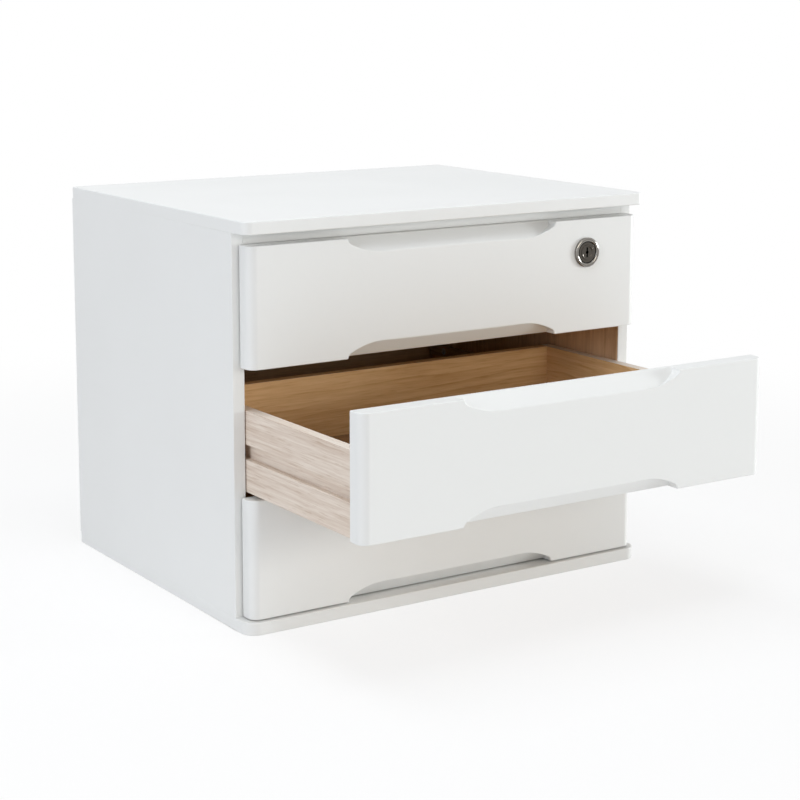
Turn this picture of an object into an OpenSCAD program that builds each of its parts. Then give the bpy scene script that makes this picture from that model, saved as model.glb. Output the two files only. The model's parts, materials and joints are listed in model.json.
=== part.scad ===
// Desktop cabinet with three lay-on drawers and a cam lock in the top one.
// Millimetres, +Z up. The origin is on the floor, in the middle of the closed cabinet.
// The drawer faces look along -Y, and the middle drawer stands open.

/* [Cabinet] */
// Width over the side panels
cabinet_w = 400; // [370:1:440]
// Depth of the top and bottom boards
cabinet_d = 318; // [300:1:360]
// Height over both boards
cabinet_h = 330; // [310:1:390]
// Thickness of the top and bottom boards and the side panels
board_t = 10.5; // [9.5:0.5:13]
// Plan radius of the front corners of the top board
top_front_r = 8; // [4:1:20]
// Plan radius of the front corners of the bottom board
bottom_front_r = 13; // [6:1:24]
// Plan radius of the rear corners of the two boards
board_rear_r = 2; // [1:0.5:4]
// Thickness of the back panel
back_t = 5; // [3:0.5:8]
// Width of the rebate that takes the back panel
rebate_w = 5; // [4:0.5:6]
// Height of the rail under the top board
rail_h = 9.5; // [7:0.5:12]
// Thickness of the rail from front to back
rail_t = 10.5; // [9:0.5:14]

/* [Drawer fronts] */
// Thickness of a front
front_t = 16; // [15:0.5:20]
// Distance of the closed fronts behind the front edges of the two boards
front_setback = 3.5; // [0:0.5:6]
// Space between a closed front and the side panels behind it
front_seat = 1.2; // [0.3:0.1:2]
// Space between two fronts
front_gap = 3.55; // [1.5:0.05:5]
// Space between the top front and the top board
top_reveal = 9.1; // [6:0.1:12]
// Space between the bottom front and the bottom board
base_reveal = 0.9; // [0.5:0.1:4]
// Distance from the end of a front to the outside of the cabinet
side_reveal = 5.9; // [5:0.1:9]
// Plan radius of the ends of a front
front_end_r = 8; // [3:0.5:12]
// Plan radius of the arris behind the end of a front
front_rear_r = 1; // [0.5:0.5:2]
// Length of a finger scoop along the edge of a front
scoop_l = 208; // [150:1:260]
// Depth of a finger scoop, equal in height and in thickness
scoop_depth = 12; // [8:0.5:13]
// Length of the rounded part at each end of a finger scoop
scoop_end_l = 34; // [20:1:50]
// Radius of the tips of a finger scoop, at the edge of the front
scoop_tip_r = 5; // [2:0.5:6]

/* [Drawer boxes] */
// Distance that the middle drawer is pulled out
middle_pull = 160.5; // [0:0.5:200]
// Length of a box behind its front
box_l = 260; // [200:1:262]
// Height of the sides and back of a box
box_h = 66; // [50:1:75]
// Thickness of the sides and back of a box
box_t = 9.5; // [9:0.5:12]
// Space between a box and the side panel beside it
box_gap = 0.8; // [0.5:0.1:2]
// Thickness of the bottom panel of a box
bottom_t = 4; // [3:0.5:6]
// Height of the underside of the bottom panel above the edge of the box
bottom_lift = 6; // [5:0.5:9]
// Depth of the groove that holds the bottom panel
bottom_groove = 4; // [2:0.5:4.5]

/* [Runners] */
// Height of the groove in a box side
groove_h = 12; // [10:0.5:16]
// Depth of the groove in a box side
groove_depth = 5; // [3:0.5:5.5]
// Height of the groove above the lower edge of the box
groove_lift = 26.5; // [24:0.5:30]
// Space above and below a runner in its groove
runner_play = 0.4; // [0.3:0.05:0.8]
// Space between a runner and the floor of its groove
runner_side_play = 0.5; // [0.3:0.05:1]
// Distance from the front edge of a side panel to its runners
runner_front_inset = 10; // [2:1:20]
// Distance from the back panel to the runners
runner_rear_inset = 4; // [2:1:20]

/* [Lock] */
// Distance of the lock from the end of the front
lock_inset = 56.6; // [52:0.1:90]
// Distance of the lock below the top edge of the front
lock_drop = 28.8; // [27:0.1:33]
// Diameter of the lock's threaded barrel
barrel_d = 19; // [18:0.5:22]
// Diameter of the flange on the face
flange_d = 25.6; // [24:0.1:30]
// Height of the flange above the face
flange_h = 2.4; // [1.5:0.1:4]
// Width of the ring round the flange
flange_ring_w = 3.2; // [2:0.1:3.5]
// Width of the shadow groove inside the ring
shadow_w = 0.8; // [0.5:0.1:1.2]
// Diameter of the turning plug
plug_d = 13; // [11:0.5:13.5]
// Diameter of the plug's rear neck
neck_d = 10; // [8.5:0.5:10.5]
// Thickness of the barrel's rear collar round the neck
collar_t = 4.6; // [3:0.1:8]
// Radial running clearance of the plug
plug_fit = 0.05; // [0.02:0.01:0.1]
// Height of the keyhole
keyhole_h = 8.4; // [6:0.1:9]
// Width of the keyhole
keyhole_w = 1.5; // [1:0.1:2.5]
// Thickness of the cam
cam_t = 2; // [1.5:0.1:3]
// Width of the cam's arm
cam_w = 12; // [10:0.5:16]
// Height by which the turned cam stands behind the rail
cam_catch = 6; // [3:0.5:6.5]
// Space between the cam and the rail behind which it turns
cam_gap = 0.4; // [0.3:0.05:1]
// Side of the square tang that drives the cam
tang_w = 6; // [5:0.5:6.5]
// Distance across the flats of the lock nut
nut_flats = 24; // [23:0.5:27]
// Thickness of the lock nut
nut_t = 3; // [2:0.5:5]

/* [Fasteners] */
// Diameter of the dowels that join the cabinet
dowel_d = 6; // [4:0.5:6.5]
// Length of a cabinet dowel inside a side panel
dowel_depth = 18; // [12:1:25]
// Wood left in a board over the end of a cabinet dowel
dowel_cover = 4; // [2:0.5:5]
// Distance of the outer dowels from the front and back of a side panel
dowel_inset = 30; // [20:1:45]
// Diameter of the dowels in a drawer
box_dowel_d = 5; // [4:0.5:5.5]
// Length of a drawer dowel inside the front
box_dowel_front = 10; // [7:0.5:12]
// Length of a drawer dowel inside a box side
box_dowel_side = 17; // [12:1:22]
// Height of the lower fasteners of a drawer above the edge of the box
low_fastener_z = 17.5; // [15:0.5:19]
// Distance of the upper fasteners of a drawer below the top of the box
high_fastener_drop = 8; // [6:0.5:9]
// Shank diameter of the small screws
screw_d = 3.5; // [3:0.1:4]
// Head diameter of the small screws
screw_head_d = 7; // [6:0.1:7.6]
// Length of the screws through a box side
box_screw_l = 30; // [20:1:40]
// Shank diameter of the screws through the bottom board
base_screw_d = 4; // [3.5:0.1:5]
// Head diameter of the screws through the bottom board
base_screw_head_d = 8; // [7:0.1:9]
// Length of the screws through the bottom board
base_screw_l = 40; // [30:1:60]
// Depth of the heads below the underside of the bottom board
base_screw_sink = 0.5; // [0.5:0.1:1.5]
// Wood left in front of the tip of a blind screw
tip_cover = 2; // [1:0.5:3]
// Shank diameter of the nails of the back panel
nail_d = 1.5; // [1.2:0.1:1.8]
// Head diameter of the nails
nail_head_d = 3.4; // [2.8:0.1:3.6]
// Length of the nails
nail_l = 18; // [15:1:25]
// Radial clearance round dowels, nails and screws
hole_fit = 0.05; // [0.02:0.01:0.1]

/* [Hidden] */
$fn = 64;

LEFT = -1;
RIGHT = 1;
levels = 3;
BOTTOM = 0;
MIDDLE = 1;
TOP = levels - 1;
over = 1;                // how far a cutter runs past the face that it opens
panel_play = 0.1;        // space round a panel in its groove or rebate
axial_play = 0.3;        // space between lock parts that turn past each other

board_y = -cabinet_d / 2;
face_y = board_y + front_setback;
rear_y = cabinet_d / 2;
panel_front_y = face_y + front_t + front_seat;
panel_rear_y = rear_y - back_t;
panel_d = rear_y - panel_front_y;
panel_h = cabinet_h - 2 * board_t;
inner_x = cabinet_w / 2 - board_t;
panel_mid_x = inner_x + board_t / 2;
rail_z = cabinet_h - board_t - rail_h;

front_w = cabinet_w - 2 * side_reveal;
front_h = (panel_h - top_reveal - base_reveal - (levels - 1) * front_gap) / levels;
box_outer_x = inner_x - box_gap;
box_inner_x = box_outer_x - box_t;
box_rear_y = front_t + box_l;
bottom_slot = bottom_t + 2 * panel_play;
box_dowel_l = box_dowel_front + box_dowel_side;

runner_w = box_gap + groove_depth - runner_side_play;
runner_h = groove_h - 2 * runner_play;
runner_y = panel_front_y + runner_front_inset;
runner_l = panel_rear_y - runner_rear_inset - runner_y;
runner_screw_l = runner_w + board_t - tip_cover;
rail_screw_l = rail_h + board_t - tip_cover;
screw_end_inset = 25;    // from the end of a runner or rail to its outer screws

board_dowel_depth = board_t - dowel_cover;
carcass_dowel_l = dowel_depth + board_dowel_depth;
dowel_ys = [panel_front_y + dowel_inset, (panel_front_y + panel_rear_y) / 2, panel_rear_y - dowel_inset];
base_screw_ys = [(dowel_ys[0] + dowel_ys[1]) / 2, (dowel_ys[1] + dowel_ys[2]) / 2];
low_dowel_z = board_t - board_dowel_depth;
high_dowel_z = cabinet_h - board_t - dowel_depth;
fastener_zs = [low_fastener_z, box_h - high_fastener_drop];

lock_x = front_w / 2 - lock_inset;
lock_z = front_h - lock_drop;
cam_y = front_t + front_seat + rail_t + cam_gap;
barrel_l = cam_y - axial_play;
neck_y = barrel_l - collar_t;
cam_reach = lock_drop + top_reveal - rail_h + cam_catch;
cam_hub_r = 9;
barrel_face_h = 1.6;     // height of the barrel's face above the drawer face
shadow_floor_h = 0.4;    // floor of the shadow groove above the drawer face
shadow_floor_step = 0.2; // by which that floor stops short of the flange's edge
plug_face_h = 1.9;       // height of the plug's face above the drawer face
plug_rim_w = 1.2;
plug_dish_depth = 0.5;
keyhole_depth = 12;
bolt_d = 4;              // shank of the bolt that holds the cam
bolt_head_d = 9;
bolt_head_h = 3;
bolt_l = 9;
bolt_slot_w = 1.2;
bolt_slot_depth = 1.4;
recess_w = 0.9;          // of each slot in a screw's cross recess
nail_head_t = 0.8;
nail_inset = rebate_w / 2;

white = "#e6e7e4";
bare_wood = "#d8c4a8";
plywood = "#cdb08a";
dark_metal = "#5c5a57";
steel = "#b9bcc0";

function level_z(level) = board_t + base_reveal + level * (front_h + front_gap);
function level_y(level) = face_y - (level == MIDDLE ? middle_pull : 0);

// Places children in a drawer's own frame: y runs back from its face, z up from its lower edge.
module at_drawer(level) translate([0, level_y(level), level_z(level)]) children();

// Places children at the height of one level of runners, at the closed drawer's place.
module at_runner(level) translate([0, 0, level_z(level) + groove_lift + runner_play]) children();

// A rectangle centred on x with its front edge on y = 0 and rounded corners.
module rounded_plan(w, d, front_r, rear_r) {
    translate([-w / 2, front_r]) square([w, d - front_r - rear_r]);
    translate([-w / 2 + front_r, 0]) square([w - 2 * front_r, front_r + over]);
    translate([-w / 2 + rear_r, d - rear_r - over]) square([w - 2 * rear_r, rear_r + over]);
    for (side = [LEFT, RIGHT]) {
        translate([side * (w / 2 - front_r), front_r]) circle(front_r);
        translate([side * (w / 2 - rear_r), d - rear_r]) circle(rear_r);
    }
}

// A countersunk screw that points along -Z, with the top of its head on z = 0.
module screw_body(d, l, head_d) {
    cone_h = (head_d - d) / 2;
    translate([0, 0, -l]) cylinder(h = l - cone_h, d = d, $fn = 32);
    translate([0, 0, -cone_h]) cylinder(h = cone_h, d1 = d, d2 = head_d, $fn = 32);
}

module screw(d, l, head_d) {
    recess_l = head_d * 0.55;
    recess_depth = (head_d - d) / 2;
    difference() {
        screw_body(d, l, head_d);
        for (turn = [0, 90])
            rotate([0, 0, turn])
                translate([-recess_l / 2, -recess_w / 2, -recess_depth])
                    cube([recess_l, recess_w, recess_depth + over]);
    }
}

// The space for such a screw, open above its head.
module screw_hole(d, l, head_d) {
    screw_body(d + 2 * hole_fit, l + hole_fit, head_d + 2 * hole_fit);
    cylinder(h = over, d = head_d + 2 * hole_fit, $fn = 32);
}

// ---- Cabinet ----

module at_carcass_dowels() {
    for (side = [LEFT, RIGHT], y = dowel_ys)
        translate([side * panel_mid_x, y, 0]) children();
}

module at_base_screws() {
    for (side = [LEFT, RIGHT], y = base_screw_ys)
        translate([side * panel_mid_x, y, base_screw_sink]) rotate([180, 0, 0]) children();
}

module at_rail_screws() {
    screw_x = inner_x - screw_end_inset;
    for (x = [-screw_x, 0, screw_x])
        translate([x, panel_front_y + rail_t / 2, rail_z]) rotate([180, 0, 0]) children();
}

// Along the four edges of the back panel, pointing forwards into the rebate's shoulder.
module at_back_nails() {
    edge_x = cabinet_w / 2 - board_t + nail_inset;
    low_z = board_t - nail_inset;
    high_z = cabinet_h - board_t + nail_inset;
    places = concat(
        [for (side = [LEFT, RIGHT], step = [1:4]) [side * edge_x, low_z + step * (high_z - low_z) / 5]],
        [for (z = [low_z, high_z], step = [-1:1]) [step * edge_x * 0.6, z]]
    );
    for (place = places)
        translate([place[0], rear_y, place[1]]) rotate([-90, 0, 0]) children();
}

module nail() {
    translate([0, 0, -nail_l]) cylinder(h = nail_l - nail_head_t, d = nail_d, $fn = 24);
    translate([0, 0, -nail_head_t]) cylinder(h = nail_head_t, d = nail_head_d, $fn = 24);
}

module nail_hole() {
    translate([0, 0, -nail_l - hole_fit])
        cylinder(h = nail_l + hole_fit, d = nail_d + 2 * hole_fit, $fn = 24);
    translate([0, 0, -nail_head_t])
        cylinder(h = nail_head_t + over, d = nail_head_d + 2 * hole_fit, $fn = 24);
}

// The stock of a board, with its underside on z = 0.
module board_blank(front_r) {
    translate([0, board_y, 0])
        linear_extrude(board_t) rounded_plan(cabinet_w, cabinet_d, front_r, board_rear_r);
}

// What the back panel takes out of the boards and side panels.
module back_rebate() {
    half_w = inner_x + rebate_w;
    translate([-half_w, panel_rear_y, board_t - rebate_w])
        cube([2 * half_w, back_t + over, panel_h + 2 * rebate_w]);
}

module carcass_dowel_holes(z) {
    at_carcass_dowels()
        translate([0, 0, z - hole_fit])
            cylinder(h = carcass_dowel_l + 2 * hole_fit, d = dowel_d + 2 * hole_fit, $fn = 32);
}

module top_board() {
    color(white)
    difference() {
        translate([0, 0, cabinet_h - board_t]) board_blank(top_front_r);
        back_rebate();
        carcass_dowel_holes(high_dowel_z);
        at_rail_screws() screw_hole(screw_d, rail_screw_l, screw_head_d);
        at_back_nails() nail_hole();
    }
}

module bottom_board() {
    color(white)
    difference() {
        board_blank(bottom_front_r);
        back_rebate();
        carcass_dowel_holes(low_dowel_z);
        at_base_screws() screw_hole(base_screw_d, base_screw_l, base_screw_head_d);
        at_back_nails() nail_hole();
    }
}

module side_panel(side) {
    color(white)
    difference() {
        translate([side * panel_mid_x - board_t / 2, panel_front_y, board_t])
            cube([board_t, panel_d, panel_h]);
        back_rebate();
        carcass_dowel_holes(low_dowel_z);
        carcass_dowel_holes(high_dowel_z);
        at_base_screws() screw_hole(base_screw_d, base_screw_l, base_screw_head_d);
        at_runner_screws(side) screw_hole(screw_d, runner_screw_l, screw_head_d);
        at_back_nails() nail_hole();
    }
}

module back_panel() {
    half_w = inner_x + rebate_w - panel_play;
    color(white)
    difference() {
        translate([-half_w, panel_rear_y, board_t - rebate_w + panel_play])
            cube([2 * half_w, back_t, panel_h + 2 * (rebate_w - panel_play)]);
        at_back_nails() nail_hole();
    }
}

module front_rail() {
    color(white)
    difference() {
        translate([-inner_x, panel_front_y, rail_z]) cube([2 * inner_x, rail_t, rail_h]);
        at_rail_screws() screw_hole(screw_d, rail_screw_l, screw_head_d);
    }
}

module carcass_dowels() {
    color(bare_wood)
    at_carcass_dowels()
        for (z = [low_dowel_z, high_dowel_z])
            translate([0, 0, z]) cylinder(h = carcass_dowel_l, d = dowel_d, $fn = 32);
}

module base_screws() {
    color(steel) at_base_screws() screw(base_screw_d, base_screw_l, base_screw_head_d);
}

module rail_screws() {
    color(steel) at_rail_screws() screw(screw_d, rail_screw_l, screw_head_d);
}

module back_panel_nails() {
    color(steel) at_back_nails() nail();
}

// ---- Runners ----

// The screws of the three runners of one side, pointing outwards into the side panel.
module at_runner_screws(side) {
    mid_y = runner_y + runner_l / 2;
    reach = runner_l / 2 - screw_end_inset;
    for (level = [BOTTOM, MIDDLE, TOP], y = [mid_y - reach, mid_y, mid_y + reach])
        at_runner(level)
            translate([side * (inner_x - runner_w), y, runner_h / 2])
                rotate([0, -side * 90, 0]) children();
}

module runner(side, level) {
    color(bare_wood)
    difference() {
        at_runner(level)
            translate([side * (inner_x - runner_w / 2) - runner_w / 2, runner_y, 0])
                cube([runner_w, runner_l, runner_h]);
        at_runner_screws(side) screw_hole(screw_d, runner_screw_l, screw_head_d);
    }
}

module runner_screws() {
    color(steel)
    for (side = [LEFT, RIGHT])
        at_runner_screws(side) screw(screw_d, runner_screw_l, screw_head_d);
}

// ---- Drawers, each in its own frame ----

module at_box_dowels() {
    for (side = [LEFT, RIGHT], z = fastener_zs)
        translate([side * (box_outer_x - box_t / 2), front_t - box_dowel_front, z])
            rotate([-90, 0, 0]) children();
}

module at_box_screws() {
    for (side = [LEFT, RIGHT], z = fastener_zs)
        translate([side * box_outer_x, box_rear_y - box_t / 2, z])
            rotate([0, side * 90, 0]) children();
}

module box_dowel_hole() {
    translate([0, 0, -hole_fit])
        cylinder(h = box_dowel_l + 2 * hole_fit, d = box_dowel_d + 2 * hole_fit, $fn = 32);
}

// The outline of a finger scoop below the edge on y = 0. Each end is a wide arc off the flat middle
// that runs smoothly into a small one, which meets the edge at a right angle.
module scoop_outline() {
    run = scoop_end_l - scoop_tip_r;
    arc_r = (run * run + scoop_depth * scoop_depth - scoop_tip_r * scoop_tip_r)
        / (2 * (scoop_depth - scoop_tip_r));
    arc_w = run * arc_r / (arc_r - scoop_tip_r);
    half_flat = scoop_l / 2 - scoop_end_l;
    translate([-half_flat, -scoop_depth]) square([2 * half_flat, scoop_depth + over]);
    for (side = [LEFT, RIGHT]) {
        translate([side * (half_flat + run), 0]) circle(scoop_tip_r);
        intersection() {
            translate([side * half_flat, arc_r - scoop_depth]) circle(arc_r, $fn = 256);
            translate([side * half_flat, over - scoop_depth / 2])
                square([2 * arc_w, scoop_depth + 2 * over], center = true);
        }
    }
}

// Takes a finger scoop out of the edge on y = 0, z = 0. The outline goes straight in, as far as a
// floor that leans at 45 degrees.
module scoop_cutter() {
    floor_y = scoop_depth * cos(45);
    intersection() {
        rotate([90, 0, 0])
            translate([0, 0, -scoop_depth - over])
                linear_extrude(scoop_depth + 2 * over) scoop_outline();
        rotate([-45, 0, 0])
            translate([0, floor_y - scoop_depth, 0])
                cube([scoop_l + 2 * over, 2 * scoop_depth, 4 * scoop_depth], center = true);
    }
}

// The space that the bottom panel fills between the front, the sides and the back.
module bottom_space(play) {
    half_w = box_inner_x + bottom_groove - play;
    y = front_t - bottom_groove + play;
    rear = box_rear_y - box_t + bottom_groove - play;
    translate([-half_w, y, bottom_lift - panel_play + play])
        cube([2 * half_w, rear - y, bottom_slot - 2 * play]);
}

module drawer_front(level) {
    color(white)
    at_drawer(level)
    difference() {
        linear_extrude(front_h) rounded_plan(front_w, front_t, front_end_r, front_rear_r);
        translate([0, 0, front_h]) scoop_cutter();
        mirror([0, 0, 1]) scoop_cutter();
        bottom_space(0);
        at_box_dowels() box_dowel_hole();
        if (level == TOP)
            at_lock()
                translate([0, 0, -front_t - over])
                    cylinder(h = front_t + 2 * over, d = barrel_d + 2 * hole_fit);
    }
}

module drawer_side(side, level) {
    groove_x = side * (box_outer_x - groove_depth / 2 + over / 2);
    color(bare_wood)
    at_drawer(level)
    difference() {
        translate([side * (box_outer_x - box_t / 2) - box_t / 2, front_t, 0])
            cube([box_t, box_l, box_h]);
        translate([groove_x, front_t + box_l / 2, groove_lift + groove_h / 2])
            cube([groove_depth + over, box_l + 2 * over, groove_h], center = true);
        bottom_space(0);
        at_box_dowels() box_dowel_hole();
        at_box_screws() screw_hole(screw_d, box_screw_l, screw_head_d);
    }
}

module drawer_back(level) {
    color(bare_wood)
    at_drawer(level)
    difference() {
        translate([-box_inner_x, box_rear_y - box_t, 0]) cube([2 * box_inner_x, box_t, box_h]);
        bottom_space(0);
        at_box_screws() screw_hole(screw_d, box_screw_l, screw_head_d);
    }
}

module drawer_bottom(level) {
    color(plywood) at_drawer(level) bottom_space(panel_play);
}

module drawer_dowels(level) {
    color(bare_wood)
    at_drawer(level)
    at_box_dowels() cylinder(h = box_dowel_l, d = box_dowel_d, $fn = 32);
}

module drawer_screws(level) {
    color(steel) at_drawer(level) at_box_screws() screw(screw_d, box_screw_l, screw_head_d);
}

// ---- Lock, on its own axis: z = 0 is the drawer face and +Z points out of it ----

module at_lock() translate([lock_x, 0, lock_z]) rotate([90, 0, 0]) children();

// Half section of a ring with a domed top, from radius inner to radius outer.
module ring_section(inner, outer, h) {
    dome_r = (outer - inner) * 0.8;
    intersection() {
        translate([inner, -over]) square([outer - inner, h + over]);
        translate([(inner + outer) / 2, h - dome_r]) circle(dome_r);
    }
}

module lock_housing() {
    ring_r = flange_d / 2 - flange_ring_w;
    face_r = ring_r - shadow_w;
    bore_r = plug_d / 2 + plug_fit;
    color(dark_metal)
    at_drawer(TOP) at_lock()
    difference() {
        union() {
            rotate_extrude($fn = 96) {
                intersection() {
                    ring_section(ring_r, flange_d / 2, flange_h);
                    square([flange_d, flange_h + over]);
                }
                square([flange_d / 2 - shadow_floor_step, shadow_floor_h]);
                square([face_r, barrel_face_h]);
            }
            translate([0, 0, -barrel_l]) cylinder(h = barrel_l + shadow_floor_h, d = barrel_d);
        }
        translate([0, 0, -neck_y]) cylinder(h = neck_y + flange_h + over, r = bore_r);
        translate([0, 0, -barrel_l - over])
            cylinder(h = barrel_l + over, r = neck_d / 2 + plug_fit);
    }
}

module lock_nut() {
    color(steel)
    at_drawer(TOP) at_lock()
    translate([0, 0, -front_t - nut_t])
    difference() {
        cylinder(h = nut_t, d = nut_flats / cos(30), $fn = 6);
        translate([0, 0, -over]) cylinder(h = nut_t + 2 * over, d = barrel_d + 2 * hole_fit);
    }
}

module lock_plug() {
    dish_r = plug_d / 2 - plug_rim_w;
    color(dark_metal)
    at_drawer(TOP) at_lock()
    difference() {
        union() {
            translate([0, 0, axial_play - neck_y])
                cylinder(h = neck_y - axial_play + plug_face_h, d = plug_d);
            translate([0, 0, -cam_y]) cylinder(h = cam_y - neck_y + over, d = neck_d);
            translate([-tang_w / 2, -tang_w / 2, -cam_y - cam_t])
                cube([tang_w, tang_w, cam_t + over]);
        }
        translate([0, 0, plug_face_h - plug_dish_depth])
            cylinder(h = plug_dish_depth + over, r1 = dish_r - plug_dish_depth, r2 = dish_r + over);
        translate([-keyhole_w / 2, -keyhole_h / 2, plug_face_h - keyhole_depth])
            cube([keyhole_w, keyhole_h, keyhole_depth + over]);
        translate([0, 0, plug_face_h - keyhole_depth])
            cylinder(h = keyhole_depth + over, d = 2 * keyhole_w, $fn = 32);
        translate([0, 0, -cam_y - cam_t - over])
            cylinder(h = bolt_l + over, d = bolt_d + 2 * hole_fit, $fn = 32);
    }
}

// The cam points to the right when the lock is open.
module lock_cam() {
    color(steel)
    at_drawer(TOP) at_lock()
    translate([0, 0, -cam_y - cam_t])
    difference() {
        union() {
            cylinder(h = cam_t, r = cam_hub_r);
            translate([0, -cam_w / 2, 0]) cube([cam_reach - cam_w / 2, cam_w, cam_t]);
            translate([cam_reach - cam_w / 2, 0, 0]) cylinder(h = cam_t, d = cam_w);
        }
        translate([-tang_w / 2 - hole_fit, -tang_w / 2 - hole_fit, -over])
            cube([tang_w + 2 * hole_fit, tang_w + 2 * hole_fit, cam_t + 2 * over]);
    }
}

module cam_bolt() {
    color(steel)
    at_drawer(TOP) at_lock()
    translate([0, 0, -cam_y - cam_t])
    difference() {
        union() {
            translate([0, 0, -bolt_head_h]) cylinder(h = bolt_head_h, d = bolt_head_d, $fn = 48);
            cylinder(h = bolt_l - axial_play, d = bolt_d, $fn = 32);
        }
        for (turn = [0, 90])
            rotate([0, 0, turn])
                translate([-bolt_head_d / 4, -bolt_slot_w / 2, -bolt_head_h - over])
                    cube([bolt_head_d / 2, bolt_slot_w, bolt_slot_depth + over]);
    }
}

top_board();
bottom_board();
side_panel(LEFT);  // left_side_panel
side_panel(RIGHT);  // right_side_panel
back_panel();
front_rail();
carcass_dowels();
base_screws();
rail_screws();
back_panel_nails();
runner(LEFT, TOP);  // top_left_runner
runner(RIGHT, TOP);  // top_right_runner
runner(LEFT, MIDDLE);  // middle_left_runner
runner(RIGHT, MIDDLE);  // middle_right_runner
runner(LEFT, BOTTOM);  // bottom_left_runner
runner(RIGHT, BOTTOM);  // bottom_right_runner
runner_screws();
drawer_front(TOP);  // top_drawer_front
drawer_side(LEFT, TOP);  // top_drawer_left_side
drawer_side(RIGHT, TOP);  // top_drawer_right_side
drawer_back(TOP);  // top_drawer_back
drawer_bottom(TOP);  // top_drawer_bottom
drawer_dowels(TOP);  // top_drawer_dowels
drawer_screws(TOP);  // top_drawer_screws
drawer_front(MIDDLE);  // middle_drawer_front
drawer_side(LEFT, MIDDLE);  // middle_drawer_left_side
drawer_side(RIGHT, MIDDLE);  // middle_drawer_right_side
drawer_back(MIDDLE);  // middle_drawer_back
drawer_bottom(MIDDLE);  // middle_drawer_bottom
drawer_dowels(MIDDLE);  // middle_drawer_dowels
drawer_screws(MIDDLE);  // middle_drawer_screws
drawer_front(BOTTOM);  // bottom_drawer_front
drawer_side(LEFT, BOTTOM);  // bottom_drawer_left_side
drawer_side(RIGHT, BOTTOM);  // bottom_drawer_right_side
drawer_back(BOTTOM);  // bottom_drawer_back
drawer_bottom(BOTTOM);  // bottom_drawer_bottom
drawer_dowels(BOTTOM);  // bottom_drawer_dowels
drawer_screws(BOTTOM);  // bottom_drawer_screws
lock_housing();
lock_nut();
lock_plug();
lock_cam();
cam_bolt();
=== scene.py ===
"""Finishes for a white desktop cabinet with three drawers: paint, bare wood, lock, fixings and stage."""

import json
import math

import bmesh
import bpy
from bpy.props import FloatProperty, FloatVectorProperty, PointerProperty
from mathutils import Matrix, Vector

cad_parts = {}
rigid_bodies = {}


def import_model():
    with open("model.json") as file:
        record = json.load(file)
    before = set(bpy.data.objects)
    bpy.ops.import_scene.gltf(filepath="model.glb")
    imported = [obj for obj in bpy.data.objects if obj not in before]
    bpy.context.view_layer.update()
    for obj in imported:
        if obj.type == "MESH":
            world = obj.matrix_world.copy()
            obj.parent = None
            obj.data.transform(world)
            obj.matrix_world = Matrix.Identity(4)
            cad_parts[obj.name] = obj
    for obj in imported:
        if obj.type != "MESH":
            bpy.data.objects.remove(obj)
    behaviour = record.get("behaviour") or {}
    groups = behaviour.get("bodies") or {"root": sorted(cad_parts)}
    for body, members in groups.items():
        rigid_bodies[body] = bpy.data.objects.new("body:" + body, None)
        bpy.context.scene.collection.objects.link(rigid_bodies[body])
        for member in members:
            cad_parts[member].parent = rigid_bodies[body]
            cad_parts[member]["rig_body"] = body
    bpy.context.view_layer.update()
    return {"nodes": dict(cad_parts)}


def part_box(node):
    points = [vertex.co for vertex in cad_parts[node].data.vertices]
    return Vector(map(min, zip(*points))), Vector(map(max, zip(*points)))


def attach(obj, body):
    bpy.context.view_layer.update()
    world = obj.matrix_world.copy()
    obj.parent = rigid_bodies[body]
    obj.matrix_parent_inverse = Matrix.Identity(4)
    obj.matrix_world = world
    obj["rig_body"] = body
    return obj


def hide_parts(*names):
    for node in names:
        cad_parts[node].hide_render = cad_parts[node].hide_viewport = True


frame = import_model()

bl_info = {
    "name": "Desktop Cabinet Finishes",
    "version": (1, 0, 0),
    "blender": (4, 5, 0),
    "location": "3D View > Sidebar > Cabinet",
    "description": "Eases the edges of a desktop cabinet's pieces and gives them their finishes",
    "category": "Object",
}

LEVELS = ("top", "middle", "bottom")
SIDES = ("left", "right")

# Lengths are in metres.
NEAR = 2e-5                             # a point this close to a plane lies on it
WELD = 1e-6                             # packed vertices this close are one
LONG_EDGE = 0.1                         # only edges that run the length of a piece are longer
SCOOP_HALF = 0.15                       # the only corners of a front this near to x = 0 are its scoops'
SCOOP_CUTS = (-0.085, -0.05, 0.05, 0.085)   # x of cuts that hold the bevel's twist at a scoop's ends
BOARD_CORNER = 0.01305                  # square that holds the curve of a board's front corner
BOARD_REAR_CORNER = 0.00205             # and that of its rear corner
LOCK_PROUD = 0.0003                     # lock edges further out than this before the front are eased
LOCK_CORE = 0.0096                      # radius of the inside of the lock's bright ring
LOCK_GROOVE = (0.00878, 0.00962)        # radii between which the groove inside that ring lies

FLAT = math.radians(0.2)                # faces that meet at less are one face
SHARP = math.radians(28)                # edges that meet at more may be eased
SMOOTH = math.radians(35)               # edges that meet at less are shaded smooth
SQUARE_ON = 0.9                         # least cosine between a face and the way it is said to look

# Turns that bring the grain of a piece on to X, its face on to Y and its thickness on to Z.
GRAIN_X = Matrix(((1, 0, 0), (0, 0, 1), (0, 1, 0)))
GRAIN_X_FLAT = Matrix(((1, 0, 0), (0, 1, 0), (0, 0, 1)))
GRAIN_Y = Matrix(((0, 1, 0), (0, 0, 1), (1, 0, 0)))
GRAIN_Y_FLAT = Matrix(((0, 1, 0), (1, 0, 0), (0, 0, 1)))
GRAIN_Z = Matrix(((0, 0, 1), (0, 1, 0), (1, 0, 0)))

WHITE = (1.0, 1.0, 1.0, 1.0)


# ---- Sizes and colours that a user may change ----

def length(name, description, default, low, high):
    return FloatProperty(name=name, description=description, default=default, min=low, max=high,
                         unit="LENGTH", subtype="DISTANCE")


def colour(name, description, default):
    return FloatVectorProperty(name=name, description=description, default=(*default, 1.0), size=4,
                               min=0.0, max=1.0, subtype="COLOR")


def power(name, description, default):
    return FloatProperty(name=name, description=description, default=default, min=0.0, unit="POWER")


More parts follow.
